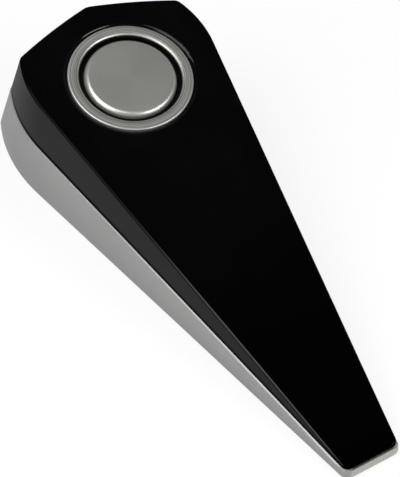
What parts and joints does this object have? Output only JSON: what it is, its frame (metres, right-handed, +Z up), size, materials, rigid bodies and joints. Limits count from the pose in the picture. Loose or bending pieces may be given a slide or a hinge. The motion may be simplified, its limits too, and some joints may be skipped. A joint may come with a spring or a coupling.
{
  "type": "door stop alarm",
  "caption": "Wedge-shaped door stop alarm: a pressure cover hinged at the thin tip of a silver base, with a round test button, siren, power switch and 9 V battery bay.",
  "frame": {"origin": "on the floor under the middle of the part's box", "axes": "+X along the wedge to its thin tip, +Y across it, +Z up"},
  "size_m": [0.1456, 0.053, 0.0371],
  "materials": {
    "shell_silver": "satin silver-grey moulded shell",
    "cover_black": "glossy black",
    "ring_metal": "spun, fine rings",
    "cap_metal": "satin",
    "plunger_black": "matte black",
    "spring_steel": "bright wire",
    "pin_steel": "ground",
    "screw_steel": "zinc plated",
    "board_green": "solder mask",
    "chip_black": "moulded",
    "coil_ferrite": "ferrite bobbin",
    "coil_copper": "enamelled copper wire",
    "capacitor_sleeve": "plastic sleeve",
    "resistor_body": "ceramic chip",
    "switch_body": "moulded",
    "trigger_red": "moulded",
    "slider_black": "moulded",
    "siren_brass": "bare",
    "siren_white": "silvered ceramic",
    "battery_case": "plain wrapped can",
    "terminal_metal": "nickel plated",
    "snap_vinyl": "vinyl",
    "lead_red": "insulation",
    "lead_black": "insulation",
    "lead_white": "insulation",
    "lead_yellow": "insulation",
    "lead_blue": "insulation",
    "door_silver": "satin silver-grey moulded",
    "pad_rubber": "matte"
  },
  "bodies": {
    "base": {"base_shell": "shell_silver", "hinge_pin": "pin_steel", "cover_springs": "spring_steel", "trigger_switch_body": "switch_body", "main_board": "board_green", "main_board_screws": "screw_steel", "controller_chip": "chip_black", "boost_coil": "coil_ferrite", "coil_winding": "coil_copper", "storage_capacitor": "capacitor_sleeve", "driver_transistor": "chip_black", "resistors": "resistor_body", "siren_disc": "siren_brass", "siren_ceramic": "siren_white", "siren_leads": "lead_white", "power_switch_body": "switch_body", "switch_board": "board_green", "switch_leads": "lead_yellow", "battery_block": "battery_case", "battery_terminals": "terminal_metal", "battery_snap": "snap_vinyl", "battery_lead_red": "lead_red", "battery_lead_black": "lead_black", "front_grip_pad": "pad_rubber", "rear_grip_pads": "pad_rubber"},
    "cover": {"top_cover": "cover_black", "bezel_ring": "ring_metal", "button_board": "board_green", "button_board_screws": "screw_steel", "button_switch": "switch_body", "button_spring": "spring_steel", "button_leads": "lead_blue", "cover_screws": "screw_steel"},
    "button": {"button_cap": "cap_metal", "button_plunger": "plunger_black"},
    "trigger": {"trigger_plunger": "trigger_red"},
    "power_slider_body": {"power_slider": "slider_black"},
    "door": {"battery_door": "door_silver"}
  },
  "joints": [
    {"name": "cover_hinge", "type": "hinge", "parent": "base", "child": "cover", "pos_m": [0.06, 0, 0.0035], "axis": [0, -1, 0], "range_deg": [0, 0.35], "stiffness_Nm_per_rad": 12, "springref_deg": -0.34, "deforming": ["cover_springs"]},
    {"name": "button_press", "type": "slide", "parent": "cover", "child": "button", "axis": [-0.2609, 0, -0.9654], "range_m": [0, 0.0008], "stiffness_N_per_m": 200, "springref_m": -0.0003, "deforming": ["button_spring"]},
    {"name": "trigger_press", "type": "slide", "parent": "base", "child": "trigger", "axis": [0, 0, -1], "range_m": [0, 0.0003], "stiffness_N_per_m": 5, "springref_m": -0.0001},
    {"name": "power_slide", "type": "slide", "parent": "base", "child": "power_slider_body", "axis": [0.4593, 0, 0.8883], "range_m": [0, 0.002]},
    {"name": "door_hinge", "type": "hinge", "parent": "base", "child": "door", "pos_m": [0.00065, 0, 0.00125], "axis": [0, -1, 0], "range_deg": [0, 90]}
  ],
  "couplings": [
    {"joint": "trigger_press", "follows": "cover_hinge", "m_per_rad": 0.0409}
  ]
}
